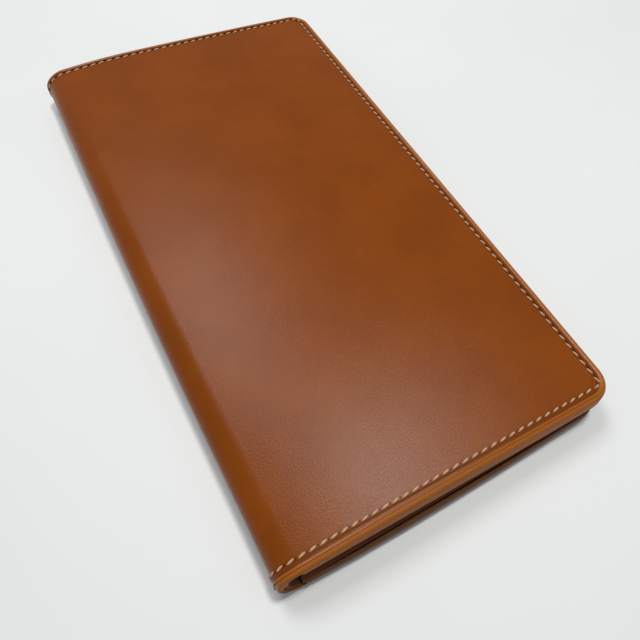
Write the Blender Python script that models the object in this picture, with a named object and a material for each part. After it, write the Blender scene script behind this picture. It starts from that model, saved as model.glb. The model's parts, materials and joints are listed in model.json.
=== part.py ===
"""Long bifold leather wallet, closed, lying on its back cover.

The spine is the long edge at -X, the two covers open like a book's at +X, and the length runs
along Y.  One sheet of leather wraps back cover, spine and front cover, and is lined.  Inside each
cover a slip panel leaves a full-length note pocket that is entered from the fold, and a column of
overlapping card pockets is sewn on that panel with its mouths towards +Y.  The leather springs at
the fold, so the closed wallet is thickest at the spine and the front cover slopes down from it.
"""
import math

import bmesh
import bpy
from mathutils import Matrix, Vector

MM = 0.001

# Overall sizes, in millimetres
COVER_LENGTH = 184.0
CLOSED_WIDTH = 98.0
BACK_SETBACK = 1.0
FRONT_CORNER_RADIUS = 6.5
BACK_CORNER_RADIUS = 7.5

# Leather and lining thicknesses
COVER_LEATHER = 1.6
LINING = 0.3
PANEL_LEATHER = 0.5
POCKET_LEATHER = 0.4
EDGE_ROUND = 0.5

# Clearances between pieces that touch in the real wallet
LAYER_GAP = 0.3
FOLD_GAP = 0.3

# Air between the closed halves, beside the fold and at the open edge
SPINE_AIR = 3.0
EDGE_AIR = 0.8

# Card pockets, sized for a card of 85.6 x 54 mm
POCKET_COUNT = 5
POCKET_HEIGHT = 54.0
POCKET_FOOT_CLEARANCE = 4.0
POCKET_DEPTH = POCKET_HEIGHT - POCKET_FOOT_CLEARANCE
POCKET_BAND = 31.0
POCKET_TOP_MARGIN = 22.0
TONGUE_INSET = 4.6
PANEL_REACH = 0.5

# Seam
SEAM_MARGIN = 3.1
SEAM_CORNER_RADIUS = 1.2
THREAD_WIDTH = 0.6
THREAD_HEIGHT = 0.35
THREAD_INSET = 0.05
THREAD_CLEARANCE = 0.3

# Faceting
CORNER_STEPS = 8
SEAM_CORNER_STEPS = 4
FOLD_STEPS = 20

# Derived layout
HALF_LENGTH = COVER_LENGTH / 2
SPINE_X = -CLOSED_WIDTH / 2
BACK_EDGE_X = CLOSED_WIDTH / 2 - BACK_SETBACK

LINING_Z = COVER_LEATHER + LAYER_GAP
PANEL_Z = LINING_Z + LINING + LAYER_GAP
POCKET_Z = PANEL_Z + PANEL_LEATHER + LAYER_GAP
POCKET_STEP = (COVER_LENGTH - POCKET_TOP_MARGIN - POCKET_HEIGHT) / (POCKET_COUNT - 1)
POCKET_SLOPE = (POCKET_LEATHER + LAYER_GAP) / POCKET_STEP
HALF_THICKNESS = POCKET_Z + POCKET_SLOPE * POCKET_HEIGHT + POCKET_LEATHER
CLOSED_THICKNESS = 2 * HALF_THICKNESS + SPINE_AIR

FOLD_RADIUS = CLOSED_THICKNESS / 2
FOLD_X = SPINE_X + FOLD_RADIUS
TAPER = math.atan((SPINE_AIR - EDGE_AIR) / (BACK_EDGE_X - FOLD_X))
FRONT_REACH = (CLOSED_WIDTH / 2 - FOLD_X - FOLD_RADIUS * math.sin(TAPER)) / math.cos(TAPER)
GROOVE_WIDTH = THREAD_WIDTH + 2 * THREAD_CLEARANCE
GROOVE_DEPTH = THREAD_INSET + THREAD_HEIGHT + THREAD_CLEARANCE

# The fold is two hinges, each turning half of the way to flat.  They lie in the leather so that
# the flat length between them, and from each to its cover, is the length of the bent leather.
FOLD_TURN = math.pi + TAPER
HINGE_REACH = (FOLD_RADIUS - COVER_LEATHER / 2) * FOLD_TURN / 4
HINGE_DEPTH = FOLD_RADIUS - HINGE_REACH * (1 - math.sin(TAPER / 2)) / math.cos(TAPER / 2)


class Half:
    """One cover with all that is sewn inside it, drawn flat with its outer face at depth 0."""

    def __init__(self, name, edge_x, corner_radius, flipped):
        self.name = name
        self.edge_x = edge_x
        self.corner_radius = corner_radius
        self.flipped = flipped
        self.pivot = None

    def place(self, x, depth):
        """World X and Z of a point; the front half is turned over and slopes by the taper."""
        if not self.flipped:
            return x, depth
        reach = x - FOLD_X
        rise = FOLD_RADIUS - depth
        world_x = FOLD_X + reach * math.cos(TAPER) + rise * math.sin(TAPER)
        world_z = FOLD_RADIUS + rise * math.cos(TAPER) - reach * math.sin(TAPER)
        return world_x, world_z


def clear_objects():
    for obj in list(bpy.data.objects):
        bpy.data.objects.remove(obj, do_unlink=True)


def make_material(name, colour, roughness):
    material = bpy.data.materials.new(name)
    material.use_nodes = True
    shader = material.node_tree.nodes["Principled BSDF"]
    shader.inputs["Base Color"].default_value = (*colour, 1.0)
    shader.inputs["Roughness"].default_value = roughness
    shader.inputs["Metallic"].default_value = 0.0
    material.diffuse_color = (*colour, 1.0)
    return material


def make_pivot(name, place, parent=None):
    """An empty on a hinge axis, which runs along Y at the given X and Z."""
    pivot = bpy.data.objects.new(name, None)
    pivot.empty_display_size = 5 * MM
    bpy.context.collection.objects.link(pivot)
    pivot.matrix_world = Matrix.Translation(Vector((place[0], 0.0, place[1])) * MM)
    bpy.context.view_layer.update()
    hang(pivot, parent)
    return pivot


def hang(obj, parent):
    """Parent an object without moving it."""
    if parent is None:
        return
    obj.parent = parent
    obj.matrix_parent_inverse = parent.matrix_world.inverted()
    bpy.context.view_layer.update()


def finish_object(name, bm, material, pivot=None):
    """Turn a bmesh drawn in millimetres into a named object in metres."""
    bmesh.ops.recalc_face_normals(bm, faces=bm.faces)
    bmesh.ops.scale(bm, vec=(MM, MM, MM), verts=bm.verts)
    mesh = bpy.data.meshes.new(name)
    bm.to_mesh(mesh)
    bm.free()
    mesh.materials.append(material)
    obj = bpy.data.objects.new(name, mesh)
    bpy.context.collection.objects.link(obj)
    hang(obj, pivot)
    return obj


def arc(centre, radius, start, end, steps):
    """Points on an arc; the angles are in degrees."""
    points = []
    for i in range(steps + 1):
        angle = math.radians(start + (end - start) * i / steps)
        points.append((centre[0] + radius * math.cos(angle), centre[1] + radius * math.sin(angle)))
    return points


def open_side(edge_x, near_y, far_y, radius, steps):
    """The two rounded corners on the open side, from the near end to the far end."""
    near_corner = arc((edge_x - radius, near_y + radius), radius, -90, 0, steps)
    far_corner = arc((edge_x - radius, far_y - radius), radius, 0, 90, steps)
    return near_corner + far_corner


def sheet(outline, depth_at, thickness):
    """A sheet cut to an outline, whose outer face has the depth that depth_at gives at each Y."""
    bm = bmesh.new()
    outer = [bm.verts.new((x, y, depth_at(y))) for x, y in outline]
    inner = [bm.verts.new((x, y, depth_at(y) + thickness)) for x, y in outline]
    bm.faces.new(outer)
    bm.faces.new(inner)
    count = len(outline)
    for i in range(count):
        j = (i + 1) % count
        bm.faces.new((outer[i], outer[j], inner[j], inner[i]))
    return bm


def put_in_place(bm, half):
    """Move a piece that was drawn flat to where its half lies."""
    for vert in bm.verts:
        vert.co.x, vert.co.z = half.place(vert.co.x, vert.co.z)


def cover_outline(half, start_x):
    side = open_side(half.edge_x, -HALF_LENGTH, HALF_LENGTH, half.corner_radius, CORNER_STEPS)
    return [(start_x, -HALF_LENGTH)] + side + [(start_x, HALF_LENGTH)]


def round_outer_edge(bm):
    """Round the cut edge of the cover leather, on its outer face only."""
    edges = []
    for edge in bm.edges:
        on_face = all(vert.co.z < LAYER_GAP / 2 for vert in edge.verts)
        at_fold = all(vert.co.x < FOLD_X + FOLD_GAP * 2 for vert in edge.verts)
        if on_face and not at_fold:
            edges.append(edge)
    bmesh.ops.bevel(bm, geom=edges, offset=EDGE_ROUND, segments=2, profile=0.5, affect="EDGES")


def seam_strip(half, start_x, width, top, bottom):
    """A strip along the three sewn edges of a cover, with square sides."""
    margin = SEAM_MARGIN - width / 2
    outer = open_side(
        half.edge_x - margin, -HALF_LENGTH + margin, HALF_LENGTH - margin,
        SEAM_CORNER_RADIUS + width / 2, SEAM_CORNER_STEPS,
    )
    margin = SEAM_MARGIN + width / 2
    inner = open_side(
        half.edge_x - margin, -HALF_LENGTH + margin, HALF_LENGTH - margin,
        SEAM_CORNER_RADIUS - width / 2, SEAM_CORNER_STEPS,
    )
    outer = [(start_x, outer[0][1])] + outer + [(start_x, outer[-1][1])]
    inner = [(start_x, inner[0][1])] + inner + [(start_x, inner[-1][1])]
    bm = bmesh.new()
    rings = []
    for (ox, oy), (ix, iy) in zip(outer, inner):
        corners = ((ox, oy, top), (ix, iy, top), (ix, iy, bottom), (ox, oy, bottom))
        rings.append([bm.verts.new(corner) for corner in corners])
    for first, second in zip(rings, rings[1:]):
        for i in range(4):
            j = (i + 1) % 4
            bm.faces.new((first[i], first[j], second[j], second[i]))
    bm.faces.new(rings[0])
    bm.faces.new(rings[-1])
    return bm


def make_cover_leather(half, material):
    bm = sheet(cover_outline(half, FOLD_X + FOLD_GAP), lambda y: 0.0, COVER_LEATHER)
    round_outer_edge(bm)
    put_in_place(bm, half)
    cover = finish_object(half.name + "_cover_leather", bm, material, half.pivot)

    bm = seam_strip(half, FOLD_X - FOLD_GAP, GROOVE_WIDTH, -COVER_LEATHER, GROOVE_DEPTH)
    put_in_place(bm, half)
    cutter = finish_object(half.name + "_groove_cutter", bm, material, half.pivot)
    cutter.hide_render = True
    cutter.display_type = "WIRE"

    cut = cover.modifiers.new("seam_groove", "BOOLEAN")
    cut.operation = "DIFFERENCE"
    cut.solver = "EXACT"
    cut.object = cutter


def make_seam_thread(half, material):
    top = THREAD_INSET
    bm = seam_strip(half, FOLD_X + FOLD_GAP, THREAD_WIDTH, top, top + THREAD_HEIGHT)
    put_in_place(bm, half)
    finish_object(half.name + "_seam_thread", bm, material, half.pivot)


def make_cover_lining(half, material):
    bm = sheet(cover_outline(half, FOLD_X + FOLD_GAP), lambda y: LINING_Z, LINING)
    put_in_place(bm, half)
    finish_object(half.name + "_cover_lining", bm, material, half.pivot)


def make_slip_panel(half, material):
    bm = sheet(cover_outline(half, FOLD_X - PANEL_REACH), lambda y: PANEL_Z, PANEL_LEATHER)
    put_in_place(bm, half)
    finish_object(half.name + "_slip_panel", bm, material, half.pivot)


def pocket_outline(half, base_y, is_front_pocket):
    """A T for a pocket under others; a full rectangle with rounded corner for the front one."""
    left = FOLD_X - PANEL_REACH
    right = half.edge_x
    mouth = base_y + POCKET_HEIGHT
    if is_front_pocket:
        radius = half.corner_radius
        corner = arc((right - radius, base_y + radius), radius, -90, 0, CORNER_STEPS)
        return [(left, base_y)] + corner + [(right, mouth), (left, mouth)]
    foot = mouth - POCKET_DEPTH
    band = mouth - POCKET_BAND
    return [
        (left + TONGUE_INSET, foot),
        (right - TONGUE_INSET, foot),
        (right - TONGUE_INSET, band),
        (right, band),
        (right, mouth),
        (left, mouth),
        (left, band),
        (left + TONGUE_INSET, band),
    ]


def make_card_pockets(half, material):
    """Pocket 1 has the highest mouth; each later one lies over the foot of those before it."""
    for number in range(1, POCKET_COUNT + 1):
        base_y = -HALF_LENGTH + (POCKET_COUNT - number) * POCKET_STEP
        outline = pocket_outline(half, base_y, number == POCKET_COUNT)

        def depth_at(y, base_y=base_y):
            return POCKET_Z + POCKET_SLOPE * (y - base_y)

        bm = sheet(outline, depth_at, POCKET_LEATHER)
        put_in_place(bm, half)
        finish_object(f"{half.name}_card_pocket_{number}", bm, material, half.pivot)


def make_half(half, leather, lining, thread):
    make_cover_leather(half, leather)
    make_seam_thread(half, thread)
    make_cover_lining(half, lining)
    make_slip_panel(half, leather)
    make_card_pockets(half, leather)


def fold_ring(stations, inner_radius):
    """The bend round the fold; each station is a Y and the outer radius there."""
    bm = bmesh.new()
    rings = []
    centre = (FOLD_X, FOLD_RADIUS)
    front_angle = 90 - math.degrees(TAPER)
    for y, outer_radius in stations:
        outer = arc(centre, outer_radius, front_angle, 270, FOLD_STEPS)
        inner = arc(centre, inner_radius, 270, front_angle, FOLD_STEPS)
        rings.append([bm.verts.new((x, y, z)) for x, z in outer + inner])
    for first, second in zip(rings, rings[1:]):
        count = len(first)
        for i in range(count):
            j = (i + 1) % count
            if (first[i].co - second[i].co).length + (first[j].co - second[j].co).length > 0:
                bm.faces.new((first[i], first[j], second[j], second[i]))
    bm.faces.new(rings[0])
    bm.faces.new(rings[-1])
    bmesh.ops.remove_doubles(bm, verts=bm.verts, dist=LAYER_GAP / 100)
    return bm


def seam_span(width):
    """The Y where a strip of this width starts and ends, on the seam line at the far end."""
    line = HALF_LENGTH - SEAM_MARGIN
    return line - width / 2, line + width / 2


def make_spine_leather(material, pivot):
    groove_start, groove_end = seam_span(GROOVE_WIDTH)
    full = FOLD_RADIUS
    cut = FOLD_RADIUS - GROOVE_DEPTH
    far_side = [
        (groove_start, full), (groove_start, cut), (groove_end, cut), (groove_end, full),
        (HALF_LENGTH, full),
    ]
    near_side = [(-y, radius) for y, radius in reversed(far_side)]
    bm = fold_ring(near_side + far_side, FOLD_RADIUS - COVER_LEATHER)
    finish_object("spine_leather", bm, material, pivot)


def make_spine_lining(material, pivot):
    outer = FOLD_RADIUS - LINING_Z
    stations = [(-HALF_LENGTH, outer), (HALF_LENGTH, outer)]
    finish_object("spine_lining", fold_ring(stations, outer - LINING), material, pivot)


def make_spine_threads(material, pivot):
    outer = FOLD_RADIUS - THREAD_INSET
    start, end = seam_span(THREAD_WIDTH)
    for name, side in (("near", -1), ("far", 1)):
        stations = [(side * start, outer), (side * end, outer)]
        bm = fold_ring(stations, outer - THREAD_HEIGHT)
        finish_object(f"spine_seam_thread_{name}", bm, material, pivot)


def build():
    clear_objects()
    leather = make_material("tan_leather", (0.28, 0.085, 0.022), 0.45)
    lining = make_material("lining_leather", (0.36, 0.16, 0.06), 0.7)
    thread = make_material("cream_thread", (0.80, 0.62, 0.42), 0.6)

    back = Half("back", BACK_EDGE_X, BACK_CORNER_RADIUS, False)
    front = Half("front", FOLD_X + FRONT_REACH, FRONT_CORNER_RADIUS, True)
    spine_pivot = make_pivot("spine_pivot", back.place(FOLD_X - HINGE_REACH, HINGE_DEPTH))
    front_hinge = front.place(FOLD_X - HINGE_REACH, HINGE_DEPTH)
    front.pivot = make_pivot("front_pivot", front_hinge, spine_pivot)
    make_half(back, leather, lining, thread)
    make_spine_leather(leather, spine_pivot)
    make_spine_lining(lining, spine_pivot)
    make_spine_threads(thread, spine_pivot)
    make_half(front, leather, lining, thread)


build()
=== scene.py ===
# %% [markdown]
# # A long leather wallet
# This lesson dresses a plain working model of a long wallet.  The working model already has
# every layer and both fold hinges.  Here each layer becomes soft, rounded leather, the seams
# get real stitches, and the set gets a floor, light and a camera.  First the model is loaded
# and its box is kept, so that the finished wallet can be compared with it.

# %% Load the working model
import json
import math

import bmesh
import bpy
from mathutils import Matrix, Vector


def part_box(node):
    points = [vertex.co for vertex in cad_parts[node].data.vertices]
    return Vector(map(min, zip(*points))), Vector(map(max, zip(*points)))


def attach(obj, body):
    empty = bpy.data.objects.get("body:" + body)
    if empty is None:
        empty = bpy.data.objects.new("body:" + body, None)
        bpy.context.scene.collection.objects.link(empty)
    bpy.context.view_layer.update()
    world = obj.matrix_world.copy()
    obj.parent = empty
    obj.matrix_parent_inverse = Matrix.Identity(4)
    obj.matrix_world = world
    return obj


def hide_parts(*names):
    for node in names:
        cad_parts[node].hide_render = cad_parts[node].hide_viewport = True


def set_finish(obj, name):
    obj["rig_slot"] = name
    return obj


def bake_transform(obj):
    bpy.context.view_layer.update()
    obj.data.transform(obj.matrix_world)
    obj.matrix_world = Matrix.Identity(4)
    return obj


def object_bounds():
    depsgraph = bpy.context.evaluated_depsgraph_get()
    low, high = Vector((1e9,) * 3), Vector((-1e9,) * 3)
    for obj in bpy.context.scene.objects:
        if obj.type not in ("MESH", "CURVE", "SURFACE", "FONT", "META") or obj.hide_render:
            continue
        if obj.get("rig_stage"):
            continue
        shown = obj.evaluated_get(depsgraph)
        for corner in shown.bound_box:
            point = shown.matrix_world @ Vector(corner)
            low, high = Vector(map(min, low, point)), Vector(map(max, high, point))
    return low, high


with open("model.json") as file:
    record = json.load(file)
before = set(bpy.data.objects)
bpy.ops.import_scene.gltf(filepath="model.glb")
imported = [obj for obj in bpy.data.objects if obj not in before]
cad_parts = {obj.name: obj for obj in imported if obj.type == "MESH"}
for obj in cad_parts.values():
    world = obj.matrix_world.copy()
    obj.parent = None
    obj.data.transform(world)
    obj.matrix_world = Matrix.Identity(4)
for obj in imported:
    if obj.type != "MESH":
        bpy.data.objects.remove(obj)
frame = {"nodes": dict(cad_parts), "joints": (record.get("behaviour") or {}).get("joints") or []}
cad_low, cad_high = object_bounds()
MM = 0.001
print("working model", [round(side / MM, 2) for side in cad_high - cad_low], "mm")

# %% [markdown]
# The closed wallet lies on its back cover.  The spine is a half round as high as the wallet is
# thick, so its radius and its middle line follow from the box.  The front cover slopes down a
# little to the open edge, and the two hinge lines show by how much: the front hinge is the
# back hinge mirrored through the middle of the fold and then turned by that slope.

# %% Main sizes, worked out from the model
HALF_LENGTH = cad_high.y
FOLD_RADIUS = cad_high.z / 2
FOLD_X = cad_low.x + FOLD_RADIUS
FOLD_CENTRE = Vector((FOLD_X, 0, FOLD_RADIUS))
hinge = {joint["name"]: Vector(joint["pos_m"]) - FOLD_CENTRE for joint in frame["joints"]}
mirrored_back_hinge = math.atan2(-hinge["back_fold"].z, -hinge["back_fold"].x)
front_hinge = math.atan2(hinge["front_fold"].z, -hinge["front_fold"].x)
TAPER = front_hinge - mirrored_back_hinge
FRONT_PLACE = (
    Matrix.Translation(FOLD_CENTRE)
    @ Matrix.Rotation(TAPER, 4, "Y")
    @ Matrix.Diagonal((1, 1, -1, 1))
    @ Matrix.Translation(-FOLD_CENTRE)
)
BACK_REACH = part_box("back_cover_leather")[1].x - FOLD_X
FRONT_REACH = (cad_high.x - FOLD_X - FOLD_RADIUS * math.sin(TAPER)) / math.cos(TAPER)
print("fold radius", round(FOLD_RADIUS / MM, 3), "mm, slope", round(math.degrees(TAPER), 2), "deg")

# %% [markdown]
# Each cover has the same make, drawn flat with its outer face down at height 0 and its inside
# up.  The front one is drawn the same way and then turned over by `FRONT_PLACE`.  The outer
# leather is thick, the lining thin, and the slip panel and pockets in between.

# %% Leather sizes and the two halves
COVER_LEATHER = 1.6 * MM
LINING_LEATHER = 0.45 * MM
PANEL_LEATHER = 1.0 * MM
POCKET_LEATHER = 0.6 * MM
LINING_LEVEL = COVER_LEATHER + 0.02 * MM
PANEL_LEVEL = LINING_LEVEL + LINING_LEATHER + 0.03 * MM
SEAM_MARGIN = 3.1 * MM
CREASE_MARGIN = 2.0 * MM
HALVES = {
    "back": {"reach": BACK_REACH, "corner": 7.5 * MM},
    "front": {"reach": FRONT_REACH, "corner": 6.5 * MM},
}
for half in HALVES.values():
    half["edge"] = FOLD_X + half["reach"]


# %% [markdown]
# Small helpers save repeating the same clicks.  `pick` selects points by their place in edit
# mode, `rectangle` starts a sheet from a plane primitive, and `cut_across` adds a line of
# points with the bisect operator.  Everything is deselected first, because an operator acts on
# all that is selected.

# %% Helpers for working on a mesh
def select_only(obj):
    if bpy.context.object and bpy.context.object.mode != "OBJECT":
        bpy.ops.object.mode_set(mode="OBJECT")
    bpy.ops.object.select_all(action="DESELECT")
    obj.select_set(True)
    bpy.context.view_layer.objects.active = obj


def pick(obj, test, kind="VERT"):
    """Enter edit mode with only the points (or the edges or faces) that pass the test."""
    if obj.mode != "EDIT":
        select_only(obj)
        bpy.ops.object.mode_set(mode="EDIT")
    bpy.ops.mesh.select_mode(type="VERT")
    bpy.ops.mesh.select_all(action="DESELECT")
    bpy.ops.mesh.select_mode(type=kind)
    mesh = bmesh.from_edit_mesh(obj.data)
    parts = {"VERT": mesh.verts, "EDGE": mesh.edges, "FACE": mesh.faces}[kind]
    found = 0
    for part in parts:
        if test(part.co if kind == "VERT" else part):
            part.select_set(True)
            found += 1
    mesh.select_flush_mode()
    bmesh.update_edit_mesh(obj.data)
    return found


def object_mode():
    bpy.ops.object.mode_set(mode="OBJECT")


def rectangle(name, x_range, y_range, height):
    select_only(next(iter(frame["nodes"].values())))
    bpy.ops.object.select_all(action="DESELECT")
    middle = (sum(x_range) / 2, sum(y_range) / 2, height)
    bpy.ops.mesh.primitive_plane_add(size=1, location=middle)
    sheet = bpy.context.object
    sheet.name = sheet.data.name = name
    bpy.ops.object.mode_set(mode="EDIT")
    bpy.ops.transform.resize(value=(x_range[1] - x_range[0], y_range[1] - y_range[0], 1))
    object_mode()
    bpy.ops.object.transform_apply(location=True, rotation=True, scale=True)
    return sheet


def cut_across(obj, point, normal):
    pick(obj, lambda place: True)
    bpy.ops.mesh.bisect(plane_co=point, plane_no=normal)


def cut_lines(obj, axis, places):
    for place in places:
        point, normal = Vector(), Vector()
        point[axis], normal[axis] = place, 1
        cut_across(obj, point, normal)


def even_steps(start, end, longest):
    count = max(1, math.ceil((end - start) / longest))
    return [start + (end - start) * i / count for i in range(1, count)]


def thicken(obj, thickness):
    """Give a sheet its thickness with Solidify, on its upper side, and face it outwards."""
    pick(obj, lambda place: True)
    bpy.ops.mesh.normals_make_consistent(inside=False)
    object_mode()
    up = sum(face.normal.z * face.area for face in obj.data.polygons)
    solidify = obj.modifiers.new("thickness", "SOLIDIFY")
    solidify.thickness = thickness
    solidify.offset = 1 if up > 0 else -1
    bpy.ops.object.modifier_apply(modifier=solidify.name)
    face_outwards(obj)


def face_outwards(obj):
    pick(obj, lambda place: True)
    bpy.ops.mesh.normals_make_consistent(inside=False)
    object_mode()


def soften(obj, angle=40):
    select_only(obj)
    bpy.ops.object.shade_smooth_by_angle(angle=math.radians(angle))


def turn_over(obj):
    """Put a piece of the front half, drawn flat, in its place."""
    select_only(obj)
    obj.data.transform(FRONT_PLACE)
    obj.data.update()
    face_outwards(obj)


# %% [markdown]
# ## Leather that keeps its pattern
# The real cover is one strip of leather: front cover, round the spine, back cover.  So the
# grain has to run on over the spine, and it must not slide when the wallet opens.  Each piece
# therefore gets a UV map called `cut` that holds its place on the flat strip, in millimetres.
# On a cut edge the map simply goes on downwards, so the edge has its own strip of pattern.

# %% Lay a piece's pattern out flat
ARC_LENGTH = FOLD_RADIUS * (math.pi + TAPER)
FRONT_EDGE_AT = FRONT_REACH / MM
BACK_EDGE_AT = -(ARC_LENGTH + BACK_REACH) / MM


def along_strip(place, side):
    """How far along the strip a point of a flat-drawn half lies, in metres."""
    if place.x >= FOLD_X:
        reach = place.x - FOLD_X
    else:
        reach = -FOLD_RADIUS * math.atan2(FOLD_X - place.x, FOLD_RADIUS - place.z)
    return reach if side == "front" else -ARC_LENGTH - reach


def lay_out(obj, side):
    """Write the `cut` map of a piece that is still drawn flat."""
    mesh = obj.data
    layer = mesh.uv_layers.get("cut") or mesh.uv_layers.new(name="cut")
    edge_sign = 1 if side == "front" else -1
    for face in mesh.polygons:
        ends = abs(face.normal.y) > 0.7
        open_side = face.normal.x > 0.7 and face.center.x > FOLD_X
        for loop in face.loop_indices:
            place = mesh.vertices[mesh.loops[loop].vertex_index].co
            u, v = along_strip(place, side), place.y
            depth = place.z if place.x >= FOLD_X else (
                FOLD_RADIUS - (place.xz - FOLD_CENTRE.xz).length
            )
            if ends:
                v += math.copysign(depth, v)
            elif open_side:
                u += edge_sign * depth
            layer.data[loop].uv = (u / MM, v / MM)


# %% [markdown]
# ## Materials
# Smooth waxed calf is brown with a soft mottling, a very fine grain, dark pore specks and a
# few pale scratches.  Colour, roughness and bump all come from noise on the `cut` map.  A
# burnished edge is lighter and shinier.  A tiny node helper keeps the graphs readable: it
# makes a node, sets its plain values, and links what is given as a socket.

# %% A helper that adds one shader node
def add(tree, kind, inputs=None, **settings):
    node = tree.nodes.new(kind)
    for name, value in settings.items():
        setattr(node, name, value)
    for name, value in (inputs or {}).items():
        socket = node.inputs[name]
        if isinstance(value, bpy.types.NodeSocket):
            tree.links.new(value, socket)
        else:
            socket.default_value = value
    return node


def noise(tree, place, scale, detail=2.0, roughness=0.5):
    inputs = {"Vector": place, "Scale": scale, "Detail": detail, "Roughness": roughness}
    return add(tree, "ShaderNodeTexNoise", inputs).outputs["Fac"]


def fade(tree, value, start, end, low=0.0, high=1.0):
    """A smooth step: low before start, high after end."""
    inputs = {"Value": value, "From Min": start, "From Max": end, "To Min": low, "To Max": high}
    node = add(tree, "ShaderNodeMapRange", inputs, interpolation_type="SMOOTHSTEP")
    return node.outputs["Result"]


def maths(tree, operation, first, second=0.0):
    node = add(tree, "ShaderNodeMath", {0: first, 1: second}, operation=operation)
    return node.outputs[0]


def blend_colour(tree, share, first, second, mode="MIX"):
    node = add(tree, "ShaderNodeMix", data_type="RGBA", blend_type=mode)
    for index, value in ((0, share), (6, first), (7, second)):
        if isinstance(value, bpy.types.NodeSocket):
            tree.links.new(value, node.inputs[index])
        else:
            node.inputs[index].default_value = value
    return node.outputs[2]


def stretched(tree, place, scale, angle=0.0):
    inputs = {"Vector": place, "Scale": scale, "Rotation": (0, 0, math.radians(angle))}
    return add(tree, "ShaderNodeMapping", inputs).outputs["Vector"]


def new_material(name, roughness, base):
    material = bpy.data.materials.new(name)
    material.use_nodes = True
    tree = material.node_tree
    shader = tree.nodes["Principled BSDF"]
    shader.inputs["Roughness"].default_value = roughness
    shader.inputs["Base Color"].default_value = base
    cut = add(tree, "ShaderNodeUVMap", uv_map="cut").outputs["UV"]
    return material, tree, shader, cut


# %% The calf leather of the cover
TAN = (0.240, 0.054, 0.0008, 1)
DEEP_TAN = (0.208, 0.045, 0.0006, 1)
BURNT_ORANGE = (0.40, 0.125, 0.016, 1)
DARK_RED = (0.110, 0.026, 0.003, 1)
PALE_SCRATCH = (0.42, 0.17, 0.06, 1)


def leather_surface(tree, shader, cut, light, deep, roughness, bump):
    """Mottling, pores, grain and a varied shine, shared by all leathers; gives the colour."""
    clouds = noise(tree, cut, 0.045, 4.0, 0.55)
    colour = blend_colour(tree, fade(tree, clouds, 0.3, 0.7), deep, light)
    patches = noise(tree, cut, 0.3, 3.0, 0.6)
    colour = blend_colour(tree, fade(tree, patches, 0.4, 0.8, 0.0, 0.25), colour, deep)
    pores = noise(tree, cut, 2.2, 1.0, 0.4)
    speck = fade(tree, pores, 0.74, 0.80, 0.0, 0.6)
    colour = blend_colour(tree, speck, colour, DARK_RED)
    grain = noise(tree, cut, 2.6, 3.0, 0.6)
    shine = fade(tree, grain, 0.35, 0.65, roughness - 0.035, roughness + 0.035)
    tree.links.new(shine, shader.inputs["Roughness"])
    height = maths(tree, "SUBTRACT", grain, maths(tree, "MULTIPLY", speck, 0.6))
    inputs = {"Height": height, "Strength": bump, "Distance": 0.10 * MM}
    relief = add(tree, "ShaderNodeBump", inputs)
    tree.links.new(relief.outputs["Normal"], shader.inputs["Normal"])
    return colour


def distance_to_sides(tree, cut):
    split = add(tree, "ShaderNodeSeparateXYZ", {0: cut})
    to_end = maths(tree, "SUBTRACT", HALF_LENGTH / MM, maths(tree, "ABSOLUTE", split.outputs["Y"]))
    to_front = maths(tree, "SUBTRACT", FRONT_EDGE_AT, split.outputs["X"])
    to_back = maths(tree, "SUBTRACT", split.outputs["X"], BACK_EDGE_AT)
    return maths(tree, "MINIMUM", to_front, to_back), to_end


def distance_to_sewn_edge(tree, cut, corner=7.0):
    """Distance in millimetres to the nearest sewn edge, rounded at the corners."""
    shares = []
    for distance in distance_to_sides(tree, cut):
        near = maths(tree, "MAXIMUM", maths(tree, "SUBTRACT", corner, distance), 0.0)
        shares.append(maths(tree, "MULTIPLY", near, near))
    length = maths(tree, "SQRT", maths(tree, "ADD", *shares))
    return maths(tree, "SUBTRACT", corner, length)


def band(tree, value, centre, half_width):
    away = maths(tree, "ABSOLUTE", maths(tree, "SUBTRACT", value, centre))
    return fade(tree, away, half_width, half_width * 0.3)


cover_leather, tree, shader, cut = new_material("waxed_calf", 0.42, TAN)
colour = leather_surface(tree, shader, cut, TAN, DEEP_TAN, 0.22, 0.7)
scratch_lines = noise(tree, stretched(tree, cut, (0.05, 1.4, 1), 24), 1.0, 2.0, 0.5)
scratch_spots = noise(tree, cut, 0.05, 1.0, 0.5)
scratches = maths(
    tree, "MULTIPLY", fade(tree, scratch_lines, 0.70, 0.74), fade(tree, scratch_spots, 0.52, 0.62)
)
colour = blend_colour(tree, maths(tree, "MULTIPLY", scratches, 0.25), colour, PALE_SCRATCH)
inset = distance_to_sewn_edge(tree, cut)
margin_tone = fade(tree, inset, CREASE_MARGIN / MM, CREASE_MARGIN / MM - 0.5, 0.0, 0.75)
colour = blend_colour(tree, margin_tone, colour, BURNT_ORANGE)
# Along the stitch line the colour is darker: partly dirt, partly painted shade beside the
# stitches.
seam_dirt_and_shade = maths(tree, "MULTIPLY", band(tree, inset, SEAM_MARGIN / MM, 0.9), 0.25)
colour = blend_colour(tree, seam_dirt_and_shade, colour, DARK_RED)
# The pressed crease line is darkened too: painted shade in its groove.
crease_painted_shade = maths(tree, "MULTIPLY", band(tree, inset, CREASE_MARGIN / MM, 0.4), 0.55)
colour = blend_colour(tree, crease_painted_shade, colour, DARK_RED)
tree.links.new(colour, shader.inputs["Base Color"])
shader.inputs["Specular IOR Level"].default_value = 0.18
shader.inputs["Coat Weight"].default_value = 0.03
shader.inputs["Coat Roughness"].default_value = 0.28
print("material", cover_leather.name, len(tree.nodes), "nodes")

# %% [markdown]
# The cut edges are sanded, dyed and rubbed with wax until the layers look like one.  Faint
# lines along the edge still show them.  The lines come from stretched noise: it is fine across
# the edge and very long along it.

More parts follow.
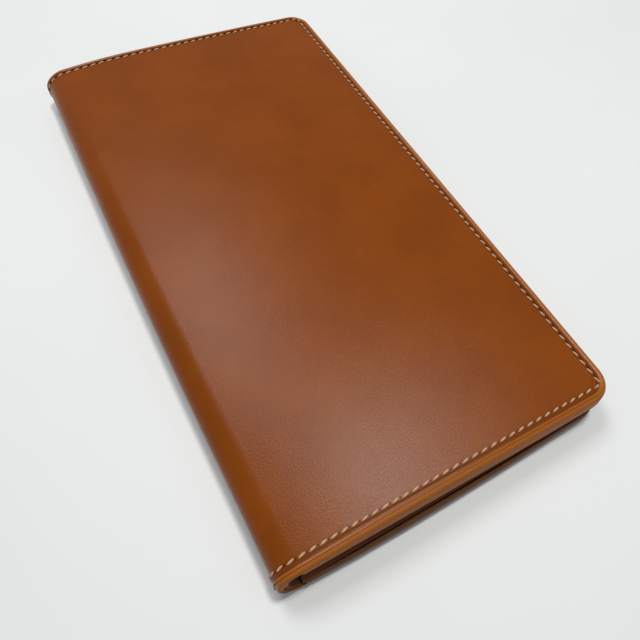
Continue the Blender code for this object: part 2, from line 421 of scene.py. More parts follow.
# %% The burnished edge
def burnished(name, bright, dull):
    material, tree, shader, cut = new_material(name, 0.33, bright)
    to_open, to_end = distance_to_sides(tree, cut)
    along_ends = noise(tree, stretched(tree, cut, (0.03, 2.0, 1)), 1.0, 3.0, 0.6)
    along_side = noise(tree, stretched(tree, cut, (2.0, 0.03, 1)), 1.0, 3.0, 0.6)
    on_side = fade(tree, maths(tree, "SUBTRACT", to_end, to_open), -1.0, 1.0)
    lines = add(tree, "ShaderNodeMix", {0: on_side, 2: along_ends, 3: along_side}).outputs[0]
    rubbed = noise(tree, cut, 0.25, 3.0, 0.6)
    colour = blend_colour(tree, fade(tree, rubbed, 0.35, 0.7), dull, bright)
    colour = blend_colour(tree, fade(tree, lines, 0.42, 0.30, 0.0, 0.5), colour, DARK_RED)
    tree.links.new(colour, shader.inputs["Base Color"])
    tree.links.new(fade(tree, rubbed, 0.3, 0.7, 0.40, 0.52), shader.inputs["Roughness"])
    inputs = {"Height": lines, "Strength": 0.35, "Distance": 0.08 * MM}
    tree.links.new(add(tree, "ShaderNodeBump", inputs).outputs["Normal"], shader.inputs["Normal"])
    shader.inputs["Specular IOR Level"].default_value = 0.1
    return material


DULL_ORANGE = (0.30, 0.085, 0.011, 1)
# The back half's edges take the same burnish in darker colours: painted shade, as those edges lie
# lower, under the front half.
edge_leather = {
    "front": burnished("burnished_edge", BURNT_ORANGE, DULL_ORANGE),
    "back": burnished("burnished_edge_painted_shade", (0.17, 0.055, 0.009, 1), (0.11, 0.034, 0.006, 1)),
}

# %% [markdown]
# The inside is the same calf, thinner and not waxed, so it is more matte.  The lining is
# paler and has a soft nap.

# %% Pocket leather and lining leather
pocket_leather, tree, shader, cut = new_material("thin_calf", 0.5, TAN)
colour = leather_surface(tree, shader, cut, (0.262, 0.070, 0.006, 1), DEEP_TAN, 0.48, 0.45)
tree.links.new(colour, shader.inputs["Base Color"])

lining_leather, tree, shader, cut = new_material("lining_skiver", 0.7, TAN)
colour = leather_surface(
    tree, shader, cut, (0.24, 0.085, 0.024, 1), (0.18, 0.060, 0.016, 1), 0.68, 0.7
)
tree.links.new(colour, shader.inputs["Base Color"])
shader.inputs["Sheen Weight"].default_value = 0.15
shader.inputs["Sheen Roughness"].default_value = 0.5

# %% [markdown]
# The thread is waxed linen of a few plies twisted together.  Each stitch carries its own small
# map, u along it and v round it, so slanting waves draw the twist: a bump, and painted shade in
# the grooves between the plies.

# %% The thread, and the painted shade of its needle holes
THREAD_CREAM = (0.74, 0.47, 0.29, 1)
PLY_SHADE_AND_DARK_FIBRE = (0.50, 0.27, 0.13, 1)
thread, tree, shader, cut = new_material("waxed_linen", 0.5, THREAD_CREAM)
inputs = {
    "Vector": stretched(tree, cut, (1, 1, 1), 50),
    "Scale": 0.9,
    "Distortion": 0.6,
    "Detail": 1.0,
}
plies = add(tree, "ShaderNodeTexWave", inputs, wave_type="BANDS").outputs["Fac"]
fibres = noise(tree, cut, 9.0, 2.0, 0.6)
# The darker bands between the plies are painted shade in their grooves; the fibre noise on the
# next line darkens some fibres at random.
colour = blend_colour(tree, fade(tree, plies, 0.1, 0.7), PLY_SHADE_AND_DARK_FIBRE, THREAD_CREAM)
colour = blend_colour(tree, fade(tree, fibres, 0.3, 0.7, 0.0, 0.25), colour, PLY_SHADE_AND_DARK_FIBRE)
tree.links.new(colour, shader.inputs["Base Color"])
relief = add(tree, "ShaderNodeBump", {"Height": plies, "Strength": 0.6, "Distance": 0.08 * MM})
tree.links.new(relief.outputs["Normal"], shader.inputs["Normal"])

# The needle holes are not cut into the leather.  A nearly flat dark patch at each one is painted
# shade for the hole.
needle_hole_shade, tree, shader, cut = new_material("needle_hole_shade", 0.8, (0.06, 0.017, 0.004, 1))
pit = noise(tree, cut, 4.0, 2.0, 0.5)
colour = blend_colour(tree, pit, (0.075, 0.021, 0.005, 1), (0.04, 0.011, 0.003, 1))
tree.links.new(colour, shader.inputs["Base Color"])
all_materials = (*edge_leather.values(), pocket_leather, lining_leather, thread)
print("materials", [m.name for m in all_materials])


def dress(obj, slot, *materials):
    obj.data.materials.clear()
    for material in materials:
        obj.data.materials.append(material)
    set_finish(obj, slot)


# %% [markdown]
# ## The cover leather
# One sheet is drawn for each half, from the open edge to the middle of the spine, so that each
# sheet crosses only one hinge.  A plane gets its open corners rounded with a vertex bevel, its
# fold edge is spun round the middle of the fold, and bisect cuts give it enough points to bend.
# Three close insets along the sewn sides let the middle one be pressed in as the creased line.

# %% Draw a sheet that wraps half of the spine
CREASE_HALF_WIDTH = 0.24 * MM


def wrapped_sheet(name, side, level, setback, crease=None):
    half = HALVES[side]
    edge, end = half["edge"] - setback, HALF_LENGTH - setback
    start = FOLD_X - 15 * MM
    sheet = rectangle(name, (start, edge), (-end, end), level)
    pick(sheet, lambda place: place.x > FOLD_X)
    bpy.ops.mesh.bevel(offset=half["corner"] - setback, segments=10, affect="VERTICES")
    if crease:
        pick(sheet, lambda place: True)
        for width in (crease - CREASE_HALF_WIDTH, CREASE_HALF_WIDTH, CREASE_HALF_WIDTH):
            bpy.ops.mesh.inset(thickness=width, depth=0)
    pick(sheet, lambda place: True)
    bpy.ops.mesh.bisect(plane_co=(FOLD_X, 0, 0), plane_no=(1, 0, 0), clear_inner=True)
    cut_lines(sheet, 0, even_steps(FOLD_X, edge - 10 * MM, 7 * MM))
    cut_lines(sheet, 1, even_steps(-end + 10 * MM, end - 10 * MM, 9 * MM))
    pick(sheet, lambda place: abs(place.x - FOLD_X) < 1e-6)
    turn = math.pi / 2 + (TAPER if side == "front" else 0)
    bpy.ops.mesh.spin(steps=16, angle=-turn, center=(FOLD_X, 0, FOLD_RADIUS), axis=(0, 1, 0))
    pick(sheet, lambda place: True)
    bpy.ops.mesh.remove_doubles(threshold=0.005 * MM)
    object_mode()
    return sheet, edge, end


def depth_in(place):
    """How deep a point of a flat-drawn half lies below the outer face."""
    if place.x >= FOLD_X:
        return place.z
    return FOLD_RADIUS - (place.xz - FOLD_CENTRE.xz).length


def edge_distance(place, side):
    """How far a point of a flat-drawn half is from the sewn outline."""
    half = HALVES[side]
    to_side, to_end = half["edge"] - place.x, HALF_LENGTH - abs(place.y)
    near_side, near_end = half["corner"] - to_side, half["corner"] - to_end
    if near_side > 0 and near_end > 0:
        return half["corner"] - math.hypot(near_side, near_end)
    return min(to_side, to_end)


def press_crease(sheet, side, inset, depth):
    """Push the middle crease line into the leather."""
    reach = CREASE_HALF_WIDTH / 4
    found = pick(sheet, lambda place: abs(edge_distance(place, side) - inset) < reach)
    bpy.ops.transform.shrink_fatten(value=depth)
    object_mode()
    return found


def face_down(sheet):
    """Turn an open sheet's faces to its outer side, which is drawn downwards."""
    face_outwards(sheet)
    if sum(face.normal.z * face.area for face in sheet.data.polygons) > 0:
        pick(sheet, lambda place: True)
        bpy.ops.mesh.flip_normals()
        object_mode()


def is_rim(face):
    """True where a face looks sideways, as a cut edge does."""
    centre = face.calc_center_median()
    up = Vector((0, 0, 1))
    if centre.x < FOLD_X:
        up = (centre - FOLD_CENTRE) * Vector((1, 0, 1))
    return abs(face.normal.dot(up.normalized())) < 0.8


def paint_rims(sheet, index=1):
    """Give the cut edges the second material of the piece."""
    pick(sheet, is_rim, "FACE")
    sheet.active_material_index = index
    bpy.ops.object.material_slot_assign()
    object_mode()


def round_rim(sheet, thickness, width, middle_of_spine, segments=4):
    """Bevel the outer cut edge, but not the line where the two halves meet."""
    def on_rim(edge):
        if len(edge.link_faces) != 2 or edge.calc_face_angle() < 1:
            return False
        outside = all(depth_in(vert.co) < thickness for vert in edge.verts)
        meets = all(vert.co.z > middle_of_spine and vert.co.x < FOLD_X for vert in edge.verts)
        return outside and not meets

    found = pick(sheet, on_rim, "EDGE")
    bpy.ops.mesh.bevel(offset=width, segments=segments, affect="EDGES", clamp_overlap=False)
    object_mode()
    return found


# %% Make both halves of the cover
CREASE_DEPTH = 0.18 * MM
RIM_ROUNDING = 0.9 * MM
cover = {}
for side in HALVES:
    sheet, edge, end = wrapped_sheet("cover_" + side, side, 0.0, 0.0, CREASE_MARGIN)
    face_down(sheet)
    pressed = press_crease(sheet, side, CREASE_MARGIN, -CREASE_DEPTH)
    thicken(sheet, COVER_LEATHER)
    spine_line = FOLD_RADIUS - 0.01 * MM
    rounded = round_rim(sheet, COVER_LEATHER / 2, RIM_ROUNDING, spine_line)
    dress(sheet, "cover_leather", cover_leather, edge_leather[side])
    paint_rims(sheet)
    lay_out(sheet, side)
    soften(sheet)
    cover[side] = sheet
    low = min(v.co.x for v in sheet.data.vertices)
    print(
        sheet.name, "reaches", round(low / MM, 2), "mm;",
        pressed, "crease points,", rounded, "rim edges",
    )
turn_over(cover["front"])

# %% [markdown]
# ## The lining
# The lining is a thin skin glued inside the cover.  It shows at the fold when the wallet is
# open, and it wraps the spine in the same way, so the same sheet helper makes it, one cover
# thickness further in.  Over the spine its inner face is drawn 0.7 mm towards the
# middle of the fold, as a padded strip that still covers the leather when the wallet is open.

# %% Line the cover
PADDING_SCALE = 0.84
lining = {}
for side in HALVES:
    sheet, edge, end = wrapped_sheet("lining_" + side, side, LINING_LEVEL, 0.35 * MM)
    face_down(sheet)
    thicken(sheet, LINING_LEATHER)
    pick(sheet, lambda at: at.x < FOLD_X - MM and depth_in(at) > LINING_LEVEL + LINING_LEATHER / 2)
    bpy.ops.transform.resize(value=(PADDING_SCALE, 1, PADDING_SCALE), center_override=FOLD_CENTRE)
    object_mode()
    dress(sheet, "lining_leather", lining_leather, edge_leather[side])
    paint_rims(sheet)
    lay_out(sheet, side)
    soften(sheet)
    lining[side] = sheet
turn_over(lining["front"])
print("linings", [len(piece.data.vertices) for piece in lining.values()], "points")

# %% [markdown]
# ## Slip panels and card pockets
# A slip panel closes the long note pocket.  The note pocket is entered from the fold, so the
# panel's free edge lies beside the spine, rounded and creased.  The card pockets overlap like
# roof tiles.  Only the top band of each is as wide as the panel, and a narrower tongue runs
# down behind the next pocket, which keeps the sewn sides thin.

# %% Cut, crease and round the slip panels
PANEL_SETBACK = 0.35 * MM
MOUTH_CREASE = 1.7 * MM
PANEL_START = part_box("back_slip_panel")[0].x
panel = {}


def crease_line(sheet, axis, place, depth, inner_side):
    """Three close cuts, and the middle one pushed into the side that shows when open."""
    cut_lines(sheet, axis, [place - 0.25 * MM, place, place + 0.25 * MM])
    found = pick(sheet, lambda at: abs(at[axis] - place) < 1e-6 and inner_side(at))
    bpy.ops.transform.translate(value=(0, 0, -depth))
    object_mode()
    return found


def round_edges(sheet, test, width, segments=3):
    found = pick(sheet, test, "EDGE")
    bpy.ops.mesh.bevel(offset=width, segments=segments, affect="EDGES")
    object_mode()
    return found


for side, half in HALVES.items():
    edge, end = half["edge"] - PANEL_SETBACK, HALF_LENGTH - PANEL_SETBACK
    sheet = rectangle("slip_panel_" + side, (PANEL_START, edge), (-end, end), PANEL_LEVEL)
    pick(sheet, lambda place: place.x > FOLD_X + MM)
    bpy.ops.mesh.bevel(offset=half["corner"] - PANEL_SETBACK, segments=10, affect="VERTICES")
    thicken(sheet, PANEL_LEATHER)
    top = PANEL_LEVEL + PANEL_LEATHER / 2
    crease_line(sheet, 0, PANEL_START + MOUTH_CREASE, 0.15 * MM, lambda at: at.z > top)
    round_edges(
        sheet,
        lambda e: e.calc_length() > HALF_LENGTH
        and all(v.co.x < PANEL_START + 1e-6 for v in e.verts),
        0.4 * MM,
    )
    cut_lines(sheet, 0, even_steps(FOLD_X + 5 * MM, edge, 20 * MM))
    dress(sheet, "pocket_leather", pocket_leather, edge_leather[side])
    paint_rims(sheet)
    lay_out(sheet, side)
    soften(sheet)
    panel[side] = sheet
turn_over(panel["front"])
print("slip panels from", round(PANEL_START / MM, 2), "mm")

# %% Measure the pockets of the model
POCKET_COUNT = sum(name.startswith("back_card_pocket") for name in frame["nodes"])
pocket_boxes = [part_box(f"back_card_pocket_{i + 1}") for i in range(POCKET_COUNT)]
mouths = [high.y for low, high in pocket_boxes]
MOUTH_LEVEL = pocket_boxes[0][1].z
FOOT_LEVEL = pocket_boxes[0][0].z
BAND_HEIGHT = 31 * MM
TONGUE_INSET = 4.6 * MM
UNDER_LEATHER = 0.4 * MM
tongue_length = mouths[0] - pocket_boxes[0][0].y
SLOPE = (MOUTH_LEVEL - FOOT_LEVEL - UNDER_LEATHER) / tongue_length
FRONT_POCKET_FOOT = PANEL_LEVEL + PANEL_LEATHER + 1.6 * MM
front_pocket_height = mouths[-1] + HALF_LENGTH
FRONT_SLOPE = (MOUTH_LEVEL - FRONT_POCKET_FOOT) / front_pocket_height
print(POCKET_COUNT, "pockets, slope", round(math.degrees(math.atan(SLOPE)), 2), "deg")


def inner_level(y):
    """Height of the inner face of a flat-drawn half along its sewn sides."""
    above = [mouth for mouth in mouths if mouth >= y]
    if not above:
        return PANEL_LEVEL + PANEL_LEATHER
    slope = FRONT_SLOPE if min(above) == mouths[-1] else SLOPE
    return MOUTH_LEVEL - slope * (min(above) - y)


# %% Make the pockets
def finish_pocket(sheet, side, mouth, slope):
    """Crease and round the mouth, then tilt the pocket to lie on the one behind it."""
    middle = MOUTH_LEVEL - POCKET_LEATHER / 2
    crease_line(sheet, 1, mouth - MOUTH_CREASE, 0.12 * MM, lambda at: at.z > middle)
    round_edges(sheet, lambda e: all(v.co.y > mouth - 1e-6 for v in e.verts), 0.2 * MM)
    pick(sheet, lambda place: True)
    bpy.ops.transform.rotate(
        value=-math.atan(slope), orient_axis="X", center_override=(0, mouth, MOUTH_LEVEL)
    )
    object_mode()
    dress(sheet, "pocket_leather", pocket_leather, edge_leather[side])
    paint_rims(sheet)
    lay_out(sheet, side)
    soften(sheet)


def card_pocket(name, side, mouth):
    left, right = PANEL_START, HALVES[side]["edge"] - PANEL_SETBACK
    level = MOUTH_LEVEL - POCKET_LEATHER
    sheet = rectangle(name, (left, right), (mouth - BAND_HEIGHT, mouth), level)
    cut_lines(sheet, 0, [left + TONGUE_INSET, right - TONGUE_INSET])
    foot = mouth - BAND_HEIGHT
    pick(sheet, lambda at: at.y < foot + 1e-6 and left + MM < at.x < right - MM)
    down = (0, BAND_HEIGHT - tongue_length, 0)
    bpy.ops.mesh.extrude_region_move(TRANSFORM_OT_translate={"value": down})
    object_mode()
    thicken(sheet, POCKET_LEATHER)
    finish_pocket(sheet, side, mouth, SLOPE)
    return sheet


def front_pocket(name, side, mouth):
    """The pocket nearest the eye is a full rectangle, and its foot is sewn in double."""
    left, right = PANEL_START, HALVES[side]["edge"] - PANEL_SETBACK
    foot = -HALF_LENGTH + PANEL_SETBACK
    sheet = rectangle(name, (left, right), (foot, mouth), MOUTH_LEVEL - POCKET_LEATHER)
    pick(sheet, lambda at: at.x > FOLD_X + MM and at.y < foot + MM)
    radius = HALVES[side]["corner"] - PANEL_SETBACK
    bpy.ops.mesh.bevel(offset=radius, segments=10, affect="VERTICES")
    cut_lines(sheet, 1, [foot + 8 * MM, foot + 12 * MM])
    thicken(sheet, POCKET_LEATHER)
    level = MOUTH_LEVEL - POCKET_LEATHER / 2
    pick(sheet, lambda at: at.z < level and at.y < foot + 9 * MM)
    bpy.ops.transform.translate(value=(0, 0, -0.65 * MM))
    object_mode()
    finish_pocket(sheet, side, mouth, FRONT_SLOPE)
    return sheet


pockets = {"back": [], "front": []}
for side in HALVES:
    for number, mouth in enumerate(mouths, start=1):
        make = front_pocket if number == POCKET_COUNT else card_pocket
        pockets[side].append(make(f"pocket_{side}_{number}", side, mouth))
for sheet in pockets["front"]:
    turn_over(sheet)
print("pockets", sum(len(made) for made in pockets.values()))

# %% [markdown]
# ## The edge bead
# The sewn edge of each half holds cover, lining, panel and pocket feet.  Edge dye and wax fill
# them into one rounded bead.  Its D-shaped section is a circle primitive pressed flat, and it
# is extruded along the near end, turned round the corner in small steps, run up the open side,
# turned again and brought back along the far end.

# %% Sweep the bead round three sides
BEAD_BULGE = 0.15 * MM
BEAD_WIDTH = 0.9 * MM
BEAD_TOP = 0.7 * MM


def extrude_by(step):
    bpy.ops.mesh.extrude_region_move(TRANSFORM_OT_translate={"value": step})


def extrude_round(centre, steps=8):
    for _ in range(steps):
        bpy.ops.mesh.extrude_region_move(TRANSFORM_OT_translate={"value": (0, 0, 0)})
        bpy.ops.transform.rotate(
            value=-math.pi / 2 / steps, orient_axis="Z", center_override=centre
        )


def edge_bead(name, side):
    half = HALVES[side]
    edge, radius = half["edge"], half["corner"]
    bottom = inner_level(-HALF_LENGTH) + 0.05 * MM
    line = -HALF_LENGTH - BEAD_BULGE + BEAD_WIDTH / 2
    middle = (BEAD_TOP + bottom) / 2
    select_only(cover["back"])
    bpy.ops.mesh.primitive_circle_add(
        vertices=14, radius=0.5, fill_type="NGON", rotation=(0, math.pi / 2, 0),
        location=(FOLD_X, line, middle),
    )
    bead = bpy.context.object
    bead.name = bead.data.name = name
    bpy.ops.object.transform_apply(location=True, rotation=True, scale=True)
    bpy.ops.object.mode_set(mode="EDIT")
    bpy.ops.mesh.select_all(action="SELECT")
    bpy.ops.transform.resize(
        value=(1, BEAD_WIDTH, bottom - BEAD_TOP), center_override=(FOLD_X, line, middle)
    )
    straight = edge - radius - FOLD_X
    for _ in range(6):
        extrude_by((straight / 6, 0, 0))
    extrude_round((edge - radius, -HALF_LENGTH + radius, middle))
    stops = sorted([-HALF_LENGTH + radius, HALF_LENGTH - radius] + [
        place for mouth in mouths for place in (mouth - 0.1 * MM, mouth + 0.5 * MM)
    ])
    for first, second in zip(stops, stops[1:]):
        extrude_by((0, second - first, 0))
    extrude_round((edge - radius, HALF_LENGTH - radius, middle))
    for _ in range(6):
        extrude_by((-straight / 6, 0, 0))
    object_mode()
    return bead, bottom


def fit_bead(bead, bottom):
    """Let the inner lip of the bead follow the layers beside it."""
    stops = sorted({round(v.co.y, 6) for v in bead.data.vertices})
    for stop in stops:
        level = inner_level(max(stop, -HALF_LENGTH)) + 0.05 * MM
        share = (level - BEAD_TOP) / (bottom - BEAD_TOP)
        pick(bead, lambda at: abs(at.y - stop) < 2e-6)
        bpy.ops.transform.resize(value=(1, 1, share), center_override=(0, stop, BEAD_TOP))
    object_mode()


beads = {}
for side in HALVES:
    bead, bottom = edge_bead("edge_bead_" + side, side)
    fit_bead(bead, bottom)
    face_outwards(bead)
    dress(bead, "cover_leather", edge_leather[side])
    lay_out(bead, side)
    soften(bead, 60)
    beads[side] = bead
turn_over(beads["front"])
print("edge beads", [len(bead.data.vertices) for bead in beads.values()], "points")

# %% [markdown]
# ## Saddle stitches
# A saddle stitch lies in slanting needle holes, so each stitch leans a little to the inside.
# One stitch is modelled from a sphere, pressed long and flat, with its ends bent down into the
# leather.  It is then copied along each seam, each copy with its own mesh, and the copies of a
# seam are joined.  A small, nearly flat dark patch, painted shade for the needle hole, lies where
# one stitch ends and the next begins.

# %% Model one stitch and one patch of painted needle-hole shade
STITCH_LEAN = math.radians(13)
LONG_SIDE_STITCHES = 64
LONG_PITCH = 2 * (HALF_LENGTH - SEAM_MARGIN) / LONG_SIDE_STITCHES


def small_ball(name, size, segments, rings, lift, material, slot):
    select_only(cover["back"])
    bpy.ops.mesh.primitive_uv_sphere_add(
        segments=segments, ring_count=rings, radius=0.5, location=(0, 0, 0),
        rotation=(0, math.pi / 2, 0), calc_uvs=True,
    )
    ball = bpy.context.object
    ball.name = ball.data.name = name
    bpy.ops.object.transform_apply(location=False, rotation=True, scale=True)
    pick(ball, lambda place: True)
    bpy.ops.transform.resize(value=size)
    bpy.ops.transform.translate(value=(0, 0, lift))
    object_mode()
    ball.data.uv_layers[0].name = "cut"
    for loop in ball.data.uv_layers["cut"].data:
        loop.uv = (loop.uv[1] * 3, loop.uv[0] * 3)
    dress(ball, slot, material)
    soften(ball, 80)
    return ball


STITCH_SIZE = (2.10 * MM, 0.60 * MM, 0.50 * MM)
STITCH_LIFT = 0.10 * MM
stitch = small_ball("one_stitch", STITCH_SIZE, 8, 8, STITCH_LIFT, thread, "seam_thread")
pick(stitch, lambda place: abs(place.x) > 0.80 * MM)
bpy.ops.transform.translate(value=(0, 0, -0.16 * MM))
object_mode()
HOLE_SIZE = (0.80 * MM, 0.36 * MM, 0.12 * MM)
HOLE_LIFT = -0.02 * MM
hole = small_ball("one_hole", HOLE_SIZE, 8, 4, HOLE_LIFT, needle_hole_shade, "cover_leather")
print("stitch", len(stitch.data.polygons), "faces, hole", len(hole.data.polygons), "faces")


def place_copies(name, template, places):
    """Copy the template to each place (point, direction along the seam, outward, turn)."""
    select_only(cover["back"])
    bpy.ops.object.select_all(action="DESELECT")
    copies = []
    for point, along, outward, turn in places:
        piece = template.copy()
        piece.data = template.data.copy()
        bpy.context.collection.objects.link(piece)
        across = outward.cross(along).normalized()
        axes = Matrix((along.normalized(), across, outward.normalized())).transposed()
        place = Matrix.Translation(point) @ axes.to_4x4() @ Matrix.Rotation(turn, 4, "Z")
        piece.data.transform(place)
        piece.select_set(True)
        copies.append(piece)
    bpy.context.view_layer.objects.active = copies[0]
    bpy.ops.object.join()
    row = bpy.context.object
    row.name = row.data.name = name
    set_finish(row, template["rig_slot"])
    return row


# %% Work out where the stitches go
Y_AXIS = Vector((0, 1, 0))


def on_half(side, point):
    """A point drawn flat, put in its place."""
    return FRONT_PLACE @ point if side == "front" else point.copy()


def seam_row(side, start, end, count, level):
    """Stitch places between two flat-drawn points; level gives the height there."""
    places, step = [], (end - start) / count
    outward = Vector((0, 0, -1)) if level is None else Vector((0, 0, 1))
    for i in range(count):
        flat = start + step * (i + 0.5)
        flat.z = 0 if level is None else level(flat.y)
        point = on_half(side, flat)
        along = on_half(side, flat + step) - point
        out = on_half(side, flat + outward) - point
        places.append((point, along, out))
    return places


def three_sides(side, level=None):
    half = HALVES[side]
    seam_x, seam_y = half["edge"] - SEAM_MARGIN, HALF_LENGTH - SEAM_MARGIN
    short = round((seam_x - FOLD_X) / LONG_PITCH)
    corners = [
        Vector((FOLD_X, -seam_y, 0)), Vector((seam_x, -seam_y, 0)),
        Vector((seam_x, seam_y, 0)), Vector((FOLD_X, seam_y, 0)),
    ]
    if level:
        corners[0].x = corners[3].x = PANEL_START + 1.6 * MM
    counts = (short, LONG_SIDE_STITCHES, short)
    places = []
    for first, second, count in zip(corners, corners[1:], counts):
        places += seam_row(side, first, second, count, level)
    return places


def round_spine(part):
    """Places round the spine at both ends, for the part that belongs to one half."""
    count = 7
    turn = (math.pi + TAPER) / count
    places = []
    for i in range(count):
        angle = -math.pi / 2 - turn * (i + 0.5)
        belongs = "front" if i >= 4 else "back"
        if belongs != part:
            continue
        out = Vector((math.cos(angle), 0, -math.sin(angle))) * Vector((1, 1, -1))
        along = Vector((out.z, 0, -out.x))
        for y in (-1, 1):
            point = FOLD_CENTRE + out * FOLD_RADIUS + Y_AXIS * y * (HALF_LENGTH - SEAM_MARGIN)
            places.append((point, along * -y, out))
    return places


def sew(name, places, lean=1):
    """Stitches and holes for a list of places."""
    turned = [(*place, lean * STITCH_LEAN) for place in places]
    row = place_copies("stitches_" + name, stitch, turned)
    ends = []
    for point, along, out in places:
        length = along.length if along.length > 2 * MM and along.length < 4 * MM else LONG_PITCH
        shift = along.normalized() * length / 2
        ends.append((point + shift, along, out, lean * STITCH_LEAN * 3))
    holes = place_copies("needle_holes_" + name, hole, ends)
    return row, holes


seams = {}
for side in HALVES:
    lean = 1 if side == "front" else -1
    seams[side] = sew(side + "_cover", three_sides(side), lean)
    seams[side + "_inner"] = sew(side + "_inner", three_sides(side, inner_level), -lean)
    seams[side + "_spine"] = sew(side + "_spine", round_spine(side), 1)
    column_x = PANEL_START + 1.6 * MM
    column = seam_row(
        side, Vector((column_x, mouths[0] - 1.5 * MM, 0)),
        Vector((column_x, -HALF_LENGTH + SEAM_MARGIN, 0)),
        round((mouths[0] + HALF_LENGTH) / LONG_PITCH), inner_level,
    )
    seams[side + "_column"] = sew(side + "_column", column, -lean)
for template in (stitch, hole):
    bpy.data.objects.remove(template)
print("seams", {name: len(row[0].data.polygons) for name, row in seams.items()})

# %% [markdown]
# ## A hand-folded spine
# Leather folded by hand never makes a perfectly square spine.  The fold is rolled tighter at
# the near end and looser at the far end, so the spine runs a little askew and the back cover
# sits up to two millimetres nearer.  The front cover also rolls off softly towards the spine
# and is slightly crowned over the pockets.  One lattice bends every piece of the wallet, so
# that they stay in touch.

# %% Bend the wrapped pieces with a lattice
SPINE_SHIFTS = [3.7 * MM, 1.3 * MM, -0.1 * MM, -1.1 * MM, -1.5 * MM]
COLUMN_SHARES = [1.1, 0.95, 0.75, 0.45, 0.15, 0.03, 0, 0, 0, 0, 0, 0, 0]
TOP_LIFTS = (-2.6, -2.3, -1.15, -0.25, 0.05, 0.2, 0.3, 0.35, 0.4, 0.35, 0.3, 0.15, 0)
TOP_LIFTS = [lift * MM for lift in TOP_LIFTS]
BACK_SLIPS = (-0.6, -1.0, -1.5, -1.75, -1.9, -1.9, -1.8, -1.7, -1.5, -1.25, -1.0, -0.7, -0.4)
BACK_SLIPS = [slip * MM for slip in BACK_SLIPS]
CAGE_LENGTH = 116 * MM
LAYER_SLIP = [1, 1.1, -0.25, 0]
LAYER_LIFT = [0, 0, 0.25, 1]
select_only(cover["back"])
bpy.ops.object.add(type="LATTICE", location=(0, 0, FOLD_RADIUS))
cage = bpy.context.object
cage.scale = (CAGE_LENGTH, 2 * HALF_LENGTH + 2 * MM, 2.2 * FOLD_RADIUS)
cage.data.points_u = len(COLUMN_SHARES)
cage.data.points_v = len(SPINE_SHIFTS)
cage.data.points_w = len(LAYER_SLIP)
per_layer = len(COLUMN_SHARES) * len(SPINE_SHIFTS)
for index, point in enumerate(cage.data.points):
    column = index % len(COLUMN_SHARES)
    row = index // len(COLUMN_SHARES) % len(SPINE_SHIFTS)
    layer = index // per_layer
    point.co_deform.x += SPINE_SHIFTS[row] * COLUMN_SHARES[column] / cage.scale.x
    point.co_deform.y += BACK_SLIPS[column] * LAYER_SLIP[layer] / cage.scale.y
    point.co_deform.z += TOP_LIFTS[column] * LAYER_LIFT[layer] / cage.scale.z
wrapped = [*cover.values(), *lining.values(), *panel.values(), *beads.values()]
wrapped += pockets["back"] + pockets["front"]
for row in seams.values():
    wrapped += row
for piece in wrapped:
    select_only(piece)
    bent = piece.modifiers.new("askew", "LATTICE")
    bent.object = cage
    bpy.ops.object.modifier_apply(modifier=bent.name)
bpy.data.objects.remove(cage)
spine_points = [v.co for v in cover["front"].data.vertices if abs(v.co.y) > HALF_LENGTH - 4 * MM]
for name, sign in (("near", -1), ("far", 1)):
    outermost = min(p.x for p in spine_points if p.y * sign > 0)
    print(name, "end of the spine at", round(outermost / MM, 2))

# %% [markdown]
# ## Moving with the hinges
# Each half's flat pieces ride on its body.  The cover, the lining and the stitches over the
# spine have their placement baked into their points and are not attached to a body.


def bend(piece, side):
    if side == "back":
        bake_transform(piece)
    else:
        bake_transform(piece)


for side in HALVES:
    for piece in (cover[side], lining[side], *seams[side + "_spine"]):
        bend(piece, side)
    riders = [panel[side], beads[side], *pockets[side], *seams[side], *seams[side + "_inner"]]
    for piece in riders + list(seams[side + "_column"]):
        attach(piece, side)
    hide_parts(side + "_cover_leather", "spine_leather")
    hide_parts(side + "_cover_lining", "spine_lining")
    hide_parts(side + "_slip_panel")
    for number, pocket in enumerate(pockets[side], start=1):
        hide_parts(f"{side}_card_pocket_{number}")
    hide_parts(side + "_seam_thread")
    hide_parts("spine_seam_thread_near", "spine_seam_thread_far")

# %% [markdown]
# ## Floor, light and camera
# The wallet lies on a pale table.  A small window lamp gives the broad shine near the spine, a
# larger lamp at the far side lights the room, a bluish sky fills the shadows, and the camera
# looks down from close by.

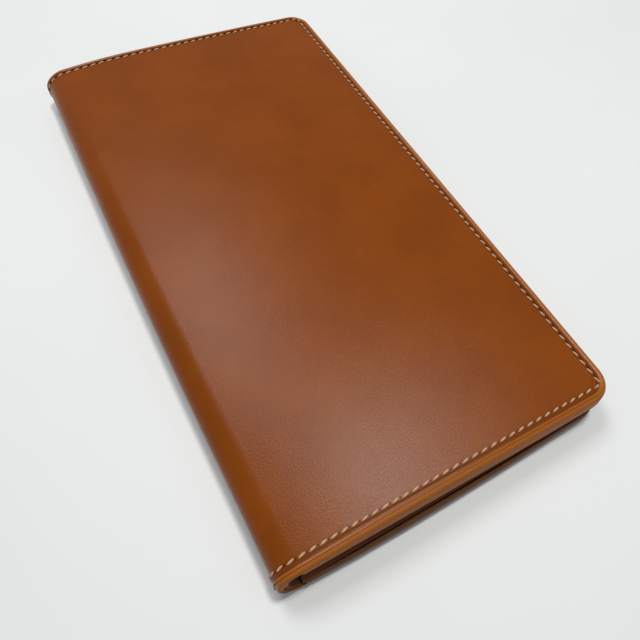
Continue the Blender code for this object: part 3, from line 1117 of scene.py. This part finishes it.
# %% Table
TABLE_DROP = 0.2 * MM
select_only(cover["back"])
bpy.ops.object.select_all(action="DESELECT")
bpy.ops.mesh.primitive_plane_add(size=3, location=(0, 0, -TABLE_DROP))
table = bpy.context.object
table.name = "table"
material = bpy.data.materials.new("pale_table")
material.use_nodes = True
tree = material.node_tree
shader = tree.nodes["Principled BSDF"]
place = add(tree, "ShaderNodeTexCoord").outputs["Object"]
grey = fade(tree, noise(tree, place, 6.0, 3.0), 0.3, 0.7)
table_colour = blend_colour(tree, grey, (0.80, 0.83, 0.84, 1), (0.84, 0.865, 0.875, 1))
tree.links.new(table_colour, shader.inputs["Base Color"])
shader.inputs["Roughness"].default_value = 0.55
table.data.materials.append(material)
table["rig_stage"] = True

# %% Light
scene = bpy.context.scene
scene.view_settings.view_transform = "Standard"
world = bpy.data.worlds.new("soft_sky")
world.use_nodes = True
sky = world.node_tree.nodes["Background"]
sky.inputs["Color"].default_value = (0.90, 0.95, 1.0, 1)
sky.inputs["Strength"].default_value = 0.30
scene.world = world


def soft_light(name, place, target, size, power, colour):
    data = bpy.data.lights.new(name, "AREA")
    data.shape = "RECTANGLE"
    data.size, data.size_y = size
    data.energy = power
    data.color = colour
    lamp = bpy.data.objects.new(name, data)
    lamp.location = place
    lamp.rotation_euler = (Vector(target) - Vector(place)).to_track_quat("-Z", "Y").to_euler()
    bpy.context.collection.objects.link(lamp)
    return lamp


soft_light("window", (0.15, 0.03, 0.75), (0, -0.02, 0), (0.12, 0.12), 2.8, (1.0, 0.97, 0.91))
soft_light("room", (-0.06, 0.44, 0.78), (0, 0, 0), (0.30, 0.30), 2.6, (1.0, 0.98, 0.96))

# %% Camera
camera_data = bpy.data.cameras.new("camera")
camera_data.sensor_width = 36
camera_data.lens = 29.6
camera_data.shift_x = -0.0535
camera_data.clip_start = 0.005
camera = bpy.data.objects.new("camera", camera_data)
camera.location = (-0.0418, -0.1030, 0.1308)
side_axis = Vector((0.8746, -0.4812, 0.0591))
up_axis = Vector((0.3873, 0.7667, 0.5120))
camera_axes = Matrix((side_axis, up_axis, side_axis.cross(up_axis)))
camera.rotation_euler = camera_axes.transposed().to_euler()
bpy.context.collection.objects.link(camera)
scene.camera = camera

# %% Compare the sizes and finish
new_low, new_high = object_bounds()
grown = [round(x / MM, 2) for x in (*(cad_low - new_low), *(new_high - cad_high))]
print("grew by", grown)
